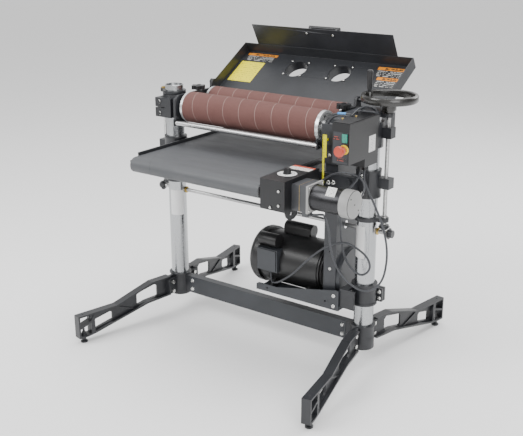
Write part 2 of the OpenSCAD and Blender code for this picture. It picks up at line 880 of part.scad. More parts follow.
module screw_right() {
  home() color(steel) screw_rod(1, wheel_z - 15);
}

module screw_arm(s, z0, z1, rp) {
  x = s * screw_x;
  difference() {
    union() {
      zcyl(s * px, 0, z0, z1, rp);
      bx(min(s * px, x), max(s * px, x), -10, 24, z0, z1);
      zcyl(x, screw_y, z0, z1, 17);
    }
    zcyl(s * px, 0, z0 - 1, z1 + 1, pr + fit);
    zcyl(x, screw_y, z0 - 1, z1 + 1, screw_d / 2 + fit);
  }
}

module screw_brackets() {
  home() color(black) {
    for (s = [-1, 1]) screw_arm(s, 608, 624, 46);
    screw_arm(-1, 985, 999, 49);
    screw_arm(1, 1003, 1017, 46);
    // closed cap over the right post
    difference() {
      zcyl(px, 0, 1010, 1024.5, 46);
      zcyl(px, 0, 1000, post_top + 0.1, pr + fit);
      zcyl(screw_x, screw_y, 1000, 1030, 20.5);
    }
  }
}

module handwheel() {
  home() color(black) difference() {
    union() {
      translate([screw_x, screw_y, wheel_z - 14]) rotate_extrude($fn = 96)
        polygon([[wheel_d / 2 - 15, 3], [wheel_d / 2 - 12, 0], [wheel_d / 2 - 3, 0],
          [wheel_d / 2, 4], [wheel_d / 2, 22], [wheel_d / 2 - 3, 26],
          [wheel_d / 2 - 12, 26], [wheel_d / 2 - 15, 23]]);
      zcyl(screw_x, screw_y, 1028, 1062, 26);
      zcyl(screw_x, screw_y, 1020, 1028, 20);
      for (a = [60, 180, 300]) translate([screw_x, screw_y, 1050]) rotate([0, 0, a])
        rotate([90, 0, 0]) translate([0, 0, -11]) linear_extrude(22)
          polygon([[18, 0], [18, 10], [60, 12], [90, 24], [92, 14], [64, 2]]);
      zcyl(screw_x - 82, screw_y, 1064, 1086, 12);
    }
    zcyl(screw_x, screw_y, 1010, wheel_z + 20, screw_d / 2 + 0.02);
    zcyl(screw_x - 82, screw_y, 1050, 1090, 4.05);
  }
}

module wheel_grip() {
  home() color(black) translate([screw_x - 82, screw_y, 0]) {
    translate([0, 0, 1062]) cylinder(r = 4, h = 34, $fn = 32);
    translate([0, 0, 1086.3]) cylinder(r = 7, h = 9, $fn = 32);
    translate([0, 0, 1094]) cylinder(r1 = 9, r2 = 11, h = grip_len - 4, $fn = 48);
    translate([0, 0, 1090 + grip_len]) cylinder(r1 = 11, r2 = 8, h = 4, $fn = 48);
  }
}

module cross_shaft() {
  home() color(steel) {
    xcyl(-screw_x - 12, screw_x + 12, screw_y, shaft_z, 8);
    for (s = [-1, 1]) {
      x = s * screw_x;
      translate([x + s * 13, screw_y, shaft_z]) rotate([0, s * 90, 0])
        cylinder(r1 = 12, r2 = 22, h = 10, $fn = 48);
      xcyl(min(x + s * 23, x + s * 38), max(x + s * 23, x + s * 38), screw_y, shaft_z, 15);
    }
  }
}

/* feed table */

module table_frame() {
  home() color(black) difference() {
    union() {
      // bed inside the belt, ribs and side rails
      bx(belt_x0 + 4, belt_x1 - 4, roller_y0 + 45, roller_y1 - 45, belt_top - 9, belt_top - 3.3);
      for (y = [-200, -60, 80, 220, 360])
        bx(belt_x0 + 4, belt_x1 - 4, y - 3, y + 3, belt_top - 44, belt_top - 8);
      bx(-407, -401, roller_y0 + 25, roller_y1 - 25, 738, 799);
      bx(223, 229, -120, roller_y1 - 25, 738, 799);
      bx(223, 229.4, roller_y0 + 25, -120, 738, 795);
      bx(-402, belt_x0 + 5, roller_y0 + 60, roller_y1 - 60, 742, belt_top - 3.3);
      bx(belt_x1 - 5, 224, roller_y0 + 60, roller_y1 - 60, 742, belt_top - 3.3);
      // roller bearing blocks
      for (y = [roller_y0, roller_y1]) {
        bx(-407, -401, y - 20, y + 28 * (y < 0 ? 1 : 0.7), 739, 776);
        bx(223, 226.8, y - 20, y + 26, 739, 776);
      }
      bx(-407, -401, roller_y1 - 40, roller_y1, 739, 776);
      bx(223, 226.8, roller_y1 - 40, roller_y1, 739, 776);
      // arm round the front of the guard to the right collar
      bx(229, 462, -92, -80, 706, 788);
      bx(229, 429, -80, -74, 706, 712);
      bx(229, 429, -80, -74, 782, 788);
      for (x = [262, 304, 346, 388]) xz_slab(-80, -74)
        polygon([[x, 706], [x + 7, 706], [x + 37, 788], [x + 30, 788]]);
      bx(229, 245, -120, 60, 742, 782);
    }
    for (y = [roller_y0, roller_y1]) xcyl(-420, 240, y, roller_z, 8.05);
    for (z = [722, 771]) ycyl(440, -100, -60, z, 5.2);
  }
}

module table_collar(s) {
  x = s * screw_x;
  difference() {
    union() {
      zcyl(s * px, 0, slide_z0, slide_z1, 47);
      zcyl(s * px, 0, slide_z0, slide_z0 + 8, 48);
      zcyl(s * px, 0, slide_z1 - 10, slide_z1, 48);
      if (s > 0) {
        bx(430, 462, -79.95, -30, 708, 786);
        bx(462, 494, -60, -20, 706, 802);
      }
      else bx(-440, -407.05, -44, 40, 708, 790);
      bx(min(s * (px + 40), s * (px + 88)), max(s * (px + 40), s * (px + 88)), -8, 32, 738, 777);
    }
    zcyl(s * px, 0, slide_z0 - 1, slide_z1 + 1, pr + 0.08);
    zcyl(x, screw_y, 700, 800, screw_d / 2 + 0.08);
    if (s > 0) for (z = [722, 771]) ycyl(440, -100, -60, z, 5.2);
  }
  if (s > 0) for (z = [722, 771]) {
    ycyl(440, -97, -66, z, 5);
    ycyl(440, -98, -92.05, z, 9);
  }
}

module table_collars() {
  home() color(black) for (s = [-1, 1]) table_collar(s);
}

module feed_roller(y) {
  difference() {
    xcyl(belt_x0 - 1, belt_x1 + 1, y, roller_z, roller_d / 2);
    xcyl(belt_x0 + 5, belt_x1 - 5, y, roller_z, roller_d / 2 - 4);
  }
  xcyl(-409, 226.5, y, roller_z, 8);
}

module feed_roller_front() {
  home() color([0.6, 0.6, 0.6]) {
    feed_roller(roller_y0);
    xcyl(-414, -409, roller_y0, roller_z, 14);
    xcyl(226.4, 240, roller_y0, roller_z, 8);
  }
}

module feed_roller_rear() {
  home() color([0.6, 0.6, 0.6]) feed_roller(roller_y1);
}

// outline round both feed rollers at a distance from their axes
module belt_outline(r) {
  for (y = [roller_y0, roller_y1]) translate([y, roller_z]) circle(r = r, $fn = 64);
  translate([roller_y0, roller_z - r]) square([roller_y1 - roller_y0, 2 * r]);
}

module feed_belt() {
  home() color([0.4, 0.4, 0.42]) yz_slab(belt_x0, belt_x1) difference() {
    belt_outline(roller_d / 2 + 3);
    belt_outline(roller_d / 2 + 0.3);
  }
}

cb_x0 = 229.5;
cb_x1 = 334;
cb_y0 = -352;
cb_y1 = -128;
cb_z0 = 700;
cb_z1 = 812;

module control_box() {
  home() color([0.22, 0.22, 0.23]) {
    difference() {
      bx(cb_x0, cb_x1, cb_y0, cb_y1, cb_z0, cb_z1);
      bx(cb_x0 + 2.5, cb_x1 - 2.5, cb_y0 + 2.5, cb_y1 - 2.5, cb_z0 - 1, cb_z1 - 2.5);
      xcyl(cb_x0 - 1, cb_x0 + 14, roller_y0, roller_z, 10);
      xcyl(cb_x1 - 5, cb_x1 + 5, -260, 748, 12);
      zcyl(282, -259, cb_z1 - 4, cb_z1 + 2, 5.05);
    }
    // dial plate with its ring of marks
    difference() {
      zcyl(282, -259, cb_z1, cb_z1 + 1.2, 36);
      zcyl(282, -259, cb_z1 - 1, cb_z1 + 2, 5.05);
    }
    // hanger below the box
    difference() {
      yz_slab(cb_x1 - 22, cb_x1 - 18) polygon([[-320, 699.9], [-322, 690], [-312, 668],
        [-290, 652], [-262, 652], [-244, 662], [-240, 699.9]]);
      xcyl(cb_x1 - 30, cb_x1, -281, 676, 7);
    }
    bx(cb_x1 - 22, cb_x1 - 2.5, -320, -240, 699.5, 703);
    for (p = [[310, 775], [310, 722], [274, 710]]) ycyl(p[0], cb_y0 - 2.5, cb_y0 + 0.01, p[1], 5);
  }
}

module speed_knob() {
  home() color(black) {
    zcyl(282, -259, cb_z1 - 3, cb_z1 + 3, 5);
    zcyl(282, -259, cb_z1 + 1.6, cb_z1 + 5, 16);
    translate([282, -259, cb_z1 + 5]) cylinder(r1 = 14, r2 = 12.5, h = 17, $fn = 24);
    bx(280.8, 283.2, -273.5, -262, cb_z1 + 21, cb_z1 + 22.8);
  }
}

gm_y = -260;
gm_z = 748;

module feed_gearbox() {
  home() color([0.25, 0.25, 0.27]) {
    bx(334.05, 366, gm_y - 48, gm_y + 48, gm_z - 48, gm_z + 48);
    bx(366, 367, gm_y - 47, gm_y + 47, gm_z - 47, gm_z + 47);
    bx(367, 396, gm_y - 48, gm_y + 48, gm_z - 48, gm_z + 48);
    xcyl(324, 335, gm_y, gm_z, 11.9);
    // connector for the table's lead
    bx(376, 398, -304, -272, 682, gm_z - 47.9);
    xcyl(397.9, 404.4, -288, 692, 8);
    difference() {
      bx(396, 404, gm_y - 50, gm_y + 50, gm_z - 50, gm_z + 50);
      for (a = [-1, 1], b = [-1, 1]) xcyl(395, 405, gm_y + a * 42, gm_z + b * 42, 4);
    }
  }
}

module feed_motor() {
  home() color([0.45, 0.45, 0.47]) {
    xcyl(404.05, 524, gm_y, gm_z, 45.5);
    xcyl(404.05, 410, gm_y, gm_z, 47.5);
    difference() {
      xcyl(524, 561, gm_y, gm_z, 50);
      ycyl(541, gm_y - 60, gm_y - 45, gm_z, 9);
      xcyl(558, 562, gm_y, gm_z, 3);
      xcyl(558, 562, gm_y - 30, gm_z + 28, 2.5);
      xcyl(558, 562, gm_y + 30, gm_z - 28, 2.5);
    }
    ycyl(541, gm_y - 50.5, gm_y - 44, gm_z, 7.5);
    ycyl(541, gm_y + 44, gm_y + 52, gm_z, 7.5);
  }
}

/* electrics */

sb_x0 = 464.5;
sb_x1 = sb_x0 + box_w;
sb_y0 = -258;
sb_y1 = sb_y0 + box_dp;
sb_z0 = 848;
sb_z1 = sb_z0 + box_h;
sb_cap = 996;
sb_seam = -143;
btn = [514, 973];
stp = [515, 935];
gland_t = [498, -86];
gland_m = [490, -106];

module switch_box() {
  home() color(black) difference() {
    union() {
      bx(sb_x0, sb_x1 - 1.5, sb_y0 + 1.5, sb_seam + 1, 880, sb_cap);
      bx(sb_x0, sb_x1 - 1.5, sb_seam, sb_y1, sb_z0, sb_cap);
      bx(sb_x0 - 0.8, sb_x1, sb_y0, sb_y1, sb_cap, sb_z1 - 3);
      bx(sb_x0 + 2, sb_x1 - 3, sb_y0 + 3, sb_y1 - 3, sb_z1 - 3, sb_z1);
      // collars round the two buttons
      bx(btn[0] - 12, btn[0] + 12, sb_y0, sb_y0 + 2, btn[1] - 17, btn[1] + 17);
      ycyl(stp[0], sb_y0 - 3, sb_y0 + 2, stp[1], 16);
      // cable glands under the box
      for (g = [gland_t, gland_m]) {
        zcyl(g[0], g[1], 822, sb_z0 + 1, 8.5);
        hexz(g[0], g[1], 826, 834, 10);
      }
    }
    bx(btn[0] - 10.2, btn[0] + 10.2, sb_y0 - 1, sb_y0 + 22, btn[1] - 15.2, btn[1] + 15.2);
    ycyl(stp[0], sb_y0 - 10, sb_y0 + 30, stp[1], 8.05);
    bx(sb_x0 + 3, sb_x1 - 5, sb_y0 + 24, sb_seam + 5, 883, sb_z1 - 6);
    bx(sb_x0 + 3, sb_x1 - 5, sb_seam + 4, sb_y1 - 3, sb_z0 + 3, sb_z1 - 6);
  }
}

module start_button() {
  home() color([0.1, 0.55, 0.4])
    bx(btn[0] - 10, btn[0] + 10, sb_y0 - 3, sb_y0 + 16, btn[1] - 15, btn[1] + 15);
}

module stop_button() {
  home() color([0.85, 0.3, 0.2]) {
    ycyl(stp[0], sb_y0 - 34, sb_y0 + 26, stp[1], 8);
    translate([stp[0], sb_y0 - 38, stp[1]]) rotate([-90, 0, 0])
      cylinder(r1 = 19.5, r2 = 14, h = 22, $fn = 48);
    translate([stp[0], sb_y0 - 44, stp[1]]) rotate([-90, 0, 0])
      cylinder(r1 = 17, r2 = 19.5, h = 6, $fn = 48);
  }
}

module depth_scale() {
  home() color([0.9, 0.85, 0.1]) {
    bx(327, 344, -97, -95.5, 847, 932);
    bx(327, 335, -97, -95.5, 743, 848);
    bx(331, 337, -96, -72.05, 905, 913);
  }
}

// routes of the power leads: points picked along each lead's hang
route_table = [
  [498, -86, 822], [498, -87, 808], [503, -92, 785], [520, -95, 752], [548, -95, 705],
  [578, -95, 645], [598, -90, 575], [606, -92, 510], [600, -100, 440], [578, -110, 397],
  [540, -120, 375], [498, -130, 384], [452, -140, 420], [424, -150, 468], [411, -162, 528],
  [412, -178, 595], [420, -212, 650], [432, -248, 682], [433, -273, 692], [421, -287, 693], [406, -288, 692]];
route_motor = [
  [490, -106, 822], [489, -107, 806], [476, -110, 780], [454, -112, 752], [438, -112, 722],
  [424, -108, 685], [414, -104, 645], [411, -95, 600], [414, -92, 539], [434, -100, 487],
  [467, -110, 450], [509, -115, 432], [542, -120, 448], [556, -125, 480], [541, -128, 514],
  [501, -130, 538], [454, -130, 548], [391, -130, 527], [335, -130, 486], [278, -125, 432],
  [209, -112, 361], [142, -98, 310], [100, -80, 288], [80, -63, 281], [67, -51, 288], [64, -48, 301], [64, -48, 316]];
route_feed = [[541, -208, 748], [541, -192, 749], [543, -175, 762], [543, -163, 786],
  [520, -154, 812], [480, -150, 820], [440, -148, 818], [402, -144, 804], [372, -140, 786],
  [351, -138, 769], [342, -138, 765], [334.1, -138, 765]];

// even spacing along a smooth curve through the picked points
function cr3(a, b, c, d, t) = 0.5 * ((2 * b) + (c - a) * t + (2 * a - 5 * b + 4 * c - d) * t * t
  + (3 * b - a - 3 * c + d) * t * t * t);
function at(p, i) = p[max(0, min(len(p) - 1, i))];
function curve(p, n) = [for (i = [0 : len(p) - 2], k = [0 : n - 1])
  cr3(at(p, i - 1), p[i], p[i + 1], at(p, i + 2), k / n), p[len(p) - 1]];
function unit(v) = v / norm(v);
function dir(c, i) = unit(at(c, i + 1) - at(c, i - 1));
function frame_u(c, i) = i == 0
  ? unit(cross(dir(c, 0), abs(dir(c, 0)[0]) < 0.9 ? [1, 0, 0] : [0, 1, 0]))
  : let (u = frame_u(c, i - 1), d = dir(c, i)) unit(u - d * (u * d));

module tube(route, r, n, m) {
  c = curve(route, n);
  k = len(c);
  us = [for (i = 0, u = frame_u(c, 0); i < k; i = i + 1,
    u = i < k ? unit(u - dir(c, i) * (u * dir(c, i))) : u) u];
  pts = [for (i = [0 : k - 1], j = [0 : m - 1]) let (u = us[i], w = cross(dir(c, i), u),
    a = 360 * j / m) c[i] + r * (cos(a) * u + sin(a) * w)];
  sides = [for (i = [0 : k - 2], j = [0 : m - 1])
    [i * m + j, i * m + (j + 1) % m, (i + 1) * m + (j + 1) % m, (i + 1) * m + j]];
  polyhedron(pts, concat([[for (j = [m - 1 : -1 : 0]) j]],
    sides, [[for (j = [0 : m - 1]) (k - 1) * m + j]]), convexity = 8);
}

module lead_table() {
  home() color([0.18, 0.18, 0.19]) tube(route_table, lead_d / 2, 3, 8);
}

module lead_motor() {
  home() color([0.18, 0.18, 0.19]) tube(route_motor, lead_d / 2, 3, 8);
}

module lead_feed() {
  home() color([0.18, 0.18, 0.19]) tube(route_feed, 3.5, 4, 8);
}

posts();
base_collars();
cross_beam();
leg_front_left();
leg_front_right();
leg_rear_left();
leg_rear_right();
base_bolts();
foot_front_left();
foot_front_right();
foot_rear_left();
foot_rear_right();
motor_bracket();
motor_tray();
motor_shell();
fan_cover();
capacitor_covers();
junction_box();
motor_rotor();
motor_pulley();
drive_belt();
belt_guard();
head_end_left();
head_end_right();
drum_front();
wrap_front();
drum_rear();
wrap_rear();
drum_bearings();
roller_infeed();
roller_outfeed();
roller_brackets();
head_knob_left();
head_knob_right();
hood();
hood_lip();
hood_handle();
dust_ports();
screw_left();
screw_right();
screw_brackets();
handwheel();
wheel_grip();
cross_shaft();
table_frame();
table_collars();
feed_roller_front();
feed_roller_rear();
feed_belt();
control_box();
speed_knob();
feed_gearbox();
feed_motor();
switch_box();
start_button();
stop_button();
depth_scale();
lead_table();
lead_motor();
lead_feed();
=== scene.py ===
import math

import bpy
from mathutils import Matrix, Vector


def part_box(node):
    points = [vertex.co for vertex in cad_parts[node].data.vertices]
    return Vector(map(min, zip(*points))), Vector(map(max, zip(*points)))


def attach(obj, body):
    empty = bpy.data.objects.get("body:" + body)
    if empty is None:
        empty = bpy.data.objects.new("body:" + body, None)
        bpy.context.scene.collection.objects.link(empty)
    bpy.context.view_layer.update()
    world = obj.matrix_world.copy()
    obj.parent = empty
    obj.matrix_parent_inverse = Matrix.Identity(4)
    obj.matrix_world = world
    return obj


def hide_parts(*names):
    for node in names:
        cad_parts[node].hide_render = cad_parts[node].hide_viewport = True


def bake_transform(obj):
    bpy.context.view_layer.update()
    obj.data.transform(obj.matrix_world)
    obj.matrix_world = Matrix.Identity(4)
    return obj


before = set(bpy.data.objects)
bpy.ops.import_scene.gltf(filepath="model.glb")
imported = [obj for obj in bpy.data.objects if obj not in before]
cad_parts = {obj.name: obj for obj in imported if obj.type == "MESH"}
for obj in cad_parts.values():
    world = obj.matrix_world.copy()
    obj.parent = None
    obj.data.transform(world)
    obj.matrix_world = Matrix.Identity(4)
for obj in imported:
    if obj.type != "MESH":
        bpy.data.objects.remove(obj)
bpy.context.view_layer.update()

# the drawing's X zero is midway between the posts, and the row's is under the outline's centre
POST_LO, POST_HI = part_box("posts")
MID_X = (POST_LO[0] + POST_HI[0]) / 2
MM = 0.001

# places of the drawing that more than one piece is laid out from, in millimetres
POST_X = 469
LIFT_Y, LIFT_Z = 12, 565
DRUM_YS, DRUM_Z = (0, 160), 936
GEAR_Y, GEAR_Z = -260, 748
DIAL_X, DIAL_Y = 282, -259
HOOD_Y, HOOD_Z = 170, 998
HOOD_DEPTH, HOOD_LEN = 46, 303.05
HOOD_TILT, LIP_TILT = math.radians(31), math.radians(2)
HANDLE_X, HANDLE_Z = 64, 77
PORT_X, PORT_S = 107, 216
STOP_Y, STOP_Z = -261, 935
FRONT, UP, RIGHT = (0, -1, 0), (0, 0, 1), (1, 0, 0)


def P(x, y, z):
    """A point of the drawing, in millimetres, as a point of the row frame in metres."""
    return Vector((x * MM + MID_X, y * MM, z * MM))


# ---------------------------------------------------------------- camera
CAM_YAW, CAM_PITCH, CAM_ROLL = math.radians(35.82), math.radians(18.58), math.radians(0.12)
cam_data = bpy.data.cameras.new("camera")
cam_data.sensor_fit = "HORIZONTAL"
cam_data.sensor_width = 36
cam_data.lens = 60.24
cam = bpy.data.objects.new("camera", cam_data)
bpy.context.collection.objects.link(cam)
cam.location = P(1968.57, -2749.37, 1657.54)
cam.rotation_euler = (math.pi / 2 - CAM_PITCH, CAM_ROLL, CAM_YAW)
bpy.context.scene.camera = cam


# ---------------------------------------------------------------- mesh helpers
BOX_FACES = [(3, 2, 1, 0), (4, 5, 6, 7), (0, 1, 5, 4), (1, 2, 6, 5), (2, 3, 7, 6), (3, 0, 4, 7)]


def link(name, verts, faces, mat):
    """A new object with flat faces."""
    me = bpy.data.meshes.new(name)
    me.from_pydata([tuple(v) for v in verts], [], faces)
    me.validate()
    me.update()
    me.materials.append(mat)
    ob = bpy.data.objects.new(name, me)
    bpy.context.collection.objects.link(ob)
    return ob


def axis_frame(d):
    """Three unit vectors at right angles, the last one along d."""
    d = Vector(d).normalized()
    a = Vector((0, 0, 1)) if abs(d.z) < 0.9 else Vector((1, 0, 0))
    u = a.cross(d).normalized()
    return u, d.cross(u), d


def ring(centre, u, v, r, seg):
    """Points on a circle of radius r mm about centre, in the plane of u and v."""
    angles = [2 * math.pi * k / seg for k in range(seg)]
    return [centre + (u * math.cos(a) + v * math.sin(a)) * r * MM for a in angles]


def ring_faces(rings, seg):
    """Walls between rings of seg points each, and a cap at both ends."""
    faces = []
    for i in range(rings - 1):
        for k in range(seg):
            a, b = i * seg + k, i * seg + (k + 1) % seg
            faces.append((a, b, b + seg, a + seg))
    last = (rings - 1) * seg
    return faces + [tuple(range(seg))[::-1], tuple(range(last, last + seg))]


def lathe_data(pos, d, prof, seg):
    """Vertices and faces of a profile of (radius, height) in mm turned about d at pos (row frame, m)."""
    u, v, w = axis_frame(d)
    verts = []
    for r, h in prof:
        verts += ring(pos + w * h * MM, u, v, r, seg)
    return verts, ring_faces(len(prof), seg)


def merge(parts):
    """The vertices and faces of several meshes as those of one."""
    verts, faces = [], []
    for v, f in parts:
        n = len(verts)
        verts += list(v)
        faces += [tuple(i + n for i in q) for q in f]
    return verts, faces


def auto_smooth(ob, deg=35):
    """Shade ob smooth, with edges sharper than deg degrees kept sharp."""
    for p in ob.data.polygons:
        p.use_smooth = True
    ob.data.set_sharp_from_angle(angle=math.radians(deg))
    return ob


def turned(name, spots, prof, body, mat, seg=24):
    """One object of equal turned pieces: spots is a list of (point, direction)."""
    v, f = merge([lathe_data(p, d, prof, seg) for p, d in spots])
    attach(auto_smooth(link(name, v, f, mat)), body)


def block_data(x0, x1, y0, y1, z0, z1):
    """Vertices and faces of a box between two corners of the drawing."""
    return [P(x, y, z) for z in (z0, z1) for x, y in ((x0, y0), (x1, y0), (x1, y1), (x0, y1))], BOX_FACES


def blocks(name, boxes, body, mat):
    """One object of several boxes."""
    v, f = merge([block_data(*b) for b in boxes])
    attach(link(name, v, f, mat), body)


def plate(name, corner, u, v, w, h, t, body, mat):
    """A thin rectangle with its own axes, so its material can be laid out on it: w along u, h along v."""
    u, v = Vector(u).normalized(), Vector(v).normalized()
    n = u.cross(v)
    w, h, t = w * MM, h * MM, t * MM
    vs = [(0, 0, 0), (w, 0, 0), (w, h, 0), (0, h, 0), (0, 0, t), (w, 0, t), (w, h, t), (0, h, t)]
    ob = link(name, vs, BOX_FACES, mat)
    m = Matrix((u, v, n)).transposed().to_4x4()
    m.translation = corner
    ob.matrix_world = m
    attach(ob, body)


# ---------------------------------------------------------------- materials
class Mat:
    """A material and short names for the shader nodes that it is built from."""

    def __init__(self, name):
        self.m = bpy.data.materials.new(name)
        self.m.use_nodes = True
        self.nt = self.m.node_tree
        self.b = next(n for n in self.nt.nodes if n.type == "BSDF_PRINCIPLED")
        self.co = self.nt.nodes.new("ShaderNodeTexCoord").outputs["Object"]

    def node(self, kind, **props):
        n = self.nt.nodes.new("ShaderNode" + kind)
        for k, v in props.items():
            setattr(n, k, v)
        return n

    def wire(self, a, b):
        self.nt.links.new(a, b)

    def math(self, op, a, b=0.0):
        n = self.node("Math", operation=op)
        for i, x in enumerate((a, b)):
            if isinstance(x, (int, float)):
                n.inputs[i].default_value = x
            else:
                self.wire(x, n.inputs[i])
        return n.outputs[0]

    def xyz(self):
        s = self.node("SeparateXYZ")
        self.wire(self.co, s.inputs[0])
        return s.outputs

    def both(self, a, b):
        """One where the masks a and b are both one."""
        return self.math("MULTIPLY", a, b)

    def between(self, x, lo, hi):
        """One where x is between lo and hi."""
        return self.both(self.math("GREATER_THAN", x, lo), self.math("LESS_THAN", x, hi))

    def noise(self, scale, detail=3.0, stretch=(1, 1, 1), rough=0.5):
        mp = self.node("Mapping")
        mp.inputs["Scale"].default_value = stretch
        self.wire(self.co, mp.inputs["Vector"])
        n = self.node("TexNoise")
        n.inputs["Scale"].default_value = scale
        n.inputs["Detail"].default_value = detail
        n.inputs["Roughness"].default_value = rough
        self.wire(mp.outputs[0], n.inputs["Vector"])
        return n.outputs[0]

    def remap(self, x, lo, hi, a=0.3, b=0.7):
        n = self.node("MapRange")
        self.wire(x, n.inputs[0])
        for i, v in zip((1, 2, 3, 4), (a, b, lo, hi)):
            n.inputs[i].default_value = v
        return n.outputs[0]

    def mix(self, fac, c0, c1):
        n = self.node("Mix", data_type="RGBA")
        ins = [s for s in n.inputs if s.type == "RGBA"]
        if isinstance(fac, (int, float)):
            n.inputs[0].default_value = fac
        else:
            self.wire(fac, n.inputs[0])
        for s, c in zip(ins, (c0, c1)):
            if isinstance(c, tuple):
                s.default_value = (*c, 1)
            else:
                self.wire(c, s)
        return next(s for s in n.outputs if s.type == "RGBA")

    def color(self, c):
        if isinstance(c, tuple):
            self.b.inputs["Base Color"].default_value = (*c, 1)
        else:
            self.wire(c, self.b.inputs["Base Color"])

    def rough(self, r):
        if isinstance(r, (int, float)):
            self.b.inputs["Roughness"].default_value = r
        else:
            self.wire(r, self.b.inputs["Roughness"])

    def bump(self, h, strength, dist=0.0005):
        n = self.node("Bump")
        n.inputs["Strength"].default_value = strength
        n.inputs["Distance"].default_value = dist
        self.wire(h, n.inputs["Height"])
        self.wire(n.outputs[0], self.b.inputs["Normal"])

    def set(self, **kw):
        """Socket values by name, with _ for a blank."""
        for k, v in kw.items():
            self.b.inputs[k.replace("_", " ")].default_value = v


def paint(name, c, rough, grain, bump, metallic=0.0, coat=0.0, vary=0.12):
    """Paint or plastic with a fine grain and a slow change of shade."""
    m = Mat(name)
    n = m.noise(grain, 4)
    big = m.noise(9, 2)
    dark = tuple(x * (1 - vary) for x in c)
    lite = tuple(min(1, x * (1 + vary)) for x in c)
    m.color(m.mix(m.remap(big, 0, 1, 0.35, 0.65), dark, lite))
    m.rough(m.remap(n, rough - 0.05, rough + 0.06))
    m.bump(n, bump)
    m.set(Metallic=metallic)
    if coat:
        m.set(Coat_Weight=coat, Coat_Roughness=0.25)
    return m.m


def brushed(name, c, rough, stretch, scale=14, bump=0.12):
    """Bare metal with fine marks that stretch draws out along an axis."""
    m = Mat(name)
    n = m.noise(scale, 5, stretch, 0.6)
    m.color(m.mix(m.remap(n, 0, 1), tuple(x * 0.86 for x in c), c))
    m.rough(m.remap(n, rough - 0.06, rough + 0.1))
    m.bump(n, bump, 0.0002)
    m.set(Metallic=1.0)
    return m.m


def label(name, base, ink, rows, size, cover=0.45, header=None, head_at=0.7):
    """A generic sticker of size metres from its corner: broken bars stand for lines of print.

    A header is a coloured band above head_at, with a bar of its own.
    """
    m = Mat(name)
    x, y, _ = m.xyz()
    v = m.math("DIVIDE", y, size[1])
    u = m.math("DIVIDE", x, size[0])
    on = m.between(m.math("FRACT", m.math("MULTIPLY", v, float(rows))), 0.32, 0.7)
    cell = m.node("TexWhiteNoise", noise_dimensions="2D")
    cv = m.node("CombineXYZ")
    m.wire(m.math("FLOOR", m.math("MULTIPLY", u, rows * 5.0)), cv.inputs[0])
    m.wire(m.math("FLOOR", m.math("MULTIPLY", v, float(rows))), cv.inputs[1])
    m.wire(cv.outputs[0], cell.inputs["Vector"])
    word = m.math("GREATER_THAN", cell.outputs[0], 1 - cover)
    c = m.mix(m.both(m.both(on, word), m.between(u, 0.07, 0.93)), base, ink)
    if header:
        bar = m.both(m.between(v, head_at + 0.07, 0.93), m.between(u, 0.25, 0.9))
        c = m.mix(m.math("GREATER_THAN", v, head_at), c, header)
        c = m.mix(m.both(bar, word), c, (0.05, 0.04, 0.03))
    m.color(c)
    m.rough(m.remap(m.noise(60), 0.3, 0.42))
    return m.m


M_CAST = paint("satin_black_casting", (0.017, 0.018, 0.021), 0.4, 260, 0.35, coat=0.08)
M_SHEET = paint("satin_black_sheet", (0.02, 0.021, 0.024), 0.38, 420, 0.12)
M_BEAM = paint("dark_grey_beam", (0.029, 0.032, 0.037), 0.38, 420, 0.12)
M_MOTOR = paint("gloss_black_motor", (0.009, 0.009, 0.0095), 0.42, 300, 0.02, coat=0.1)
M_HOOD = paint("charcoal_hood", (0.022, 0.0235, 0.027), 0.37, 500, 0.1)
M_GUARD = paint("grey_guard", (0.029, 0.031, 0.036), 0.38, 420, 0.1)
M_PLASTIC = paint("black_plastic", (0.01, 0.01, 0.0115), 0.38, 600, 0.25)
M_BOX = paint("black_box_plastic", (0.007, 0.0072, 0.0085), 0.34, 700, 0.2)
M_STEEL = brushed("brushed_steel", (0.44, 0.45, 0.46), 0.22, (1, 1, 0.6), 260, 0.02)
M_SHAFT = brushed("turned_shaft", (0.55, 0.55, 0.55), 0.28, (60, 1, 1))
M_ZINC = brushed("zinc_plate", (0.72, 0.72, 0.7), 0.22, (1, 1, 1), 200, 0.05)
M_ALLOY = brushed("cast_alloy", (0.62, 0.62, 0.61), 0.42, (1, 1, 1), 300, 0.2)
M_CAP = paint("light_grey_casting", (0.3, 0.3, 0.295), 0.42, 300, 0.2)
M_MOTORTUBE = brushed("dark_steel_tube", (0.055, 0.055, 0.058), 0.3, (60, 1, 1), 14, 0.1)
M_GEAR = paint("grey_gearbox", (0.055, 0.057, 0.062), 0.36, 260, 0.15)
M_BRASS = brushed("brass", (0.6, 0.42, 0.13), 0.3, (1, 1, 1), 120, 0.06)
M_GREEN = paint("green_button", (0.01, 0.25, 0.18), 0.28, 300, 0.03, coat=0.4)
M_RED = paint("red_button", (0.45, 0.045, 0.02), 0.45, 200, 0.03, coat=0.3)
M_YELLOW = paint("yellow_ring", (0.62, 0.4, 0.0), 0.55, 200, 0.03)
M_RUBBER = paint("cable_sheath", (0.04, 0.042, 0.048), 0.42, 500, 0.08)
M_VBELT = paint("belt_rubber", (0.016, 0.016, 0.016), 0.65, 500, 0.3)
M_BLUE = paint("blue_tie", (0.05, 0.28, 0.65), 0.35, 200, 0.03)
M_WHITE = paint("white_print", (0.78, 0.78, 0.78), 0.45, 200, 0.02, vary=0.02)
M_RIM = paint("pale_drum_rim", (0.75, 0.76, 0.76), 0.25, 200, 0.03, metallic=0.6, vary=0.04)
# near black for the dial ticks, the cap marks and the bearing nuts, and painted shade for the belt guard's
# window
M_DARK = paint("black_parts_and_painted_shade", (0.006, 0.006, 0.006), 0.6, 200, 0.05)

# width of one turn of the abrasive in metres, and the shift of its seams in turns
WRAP_PITCH, WRAP_START = 0.0785, 10.3


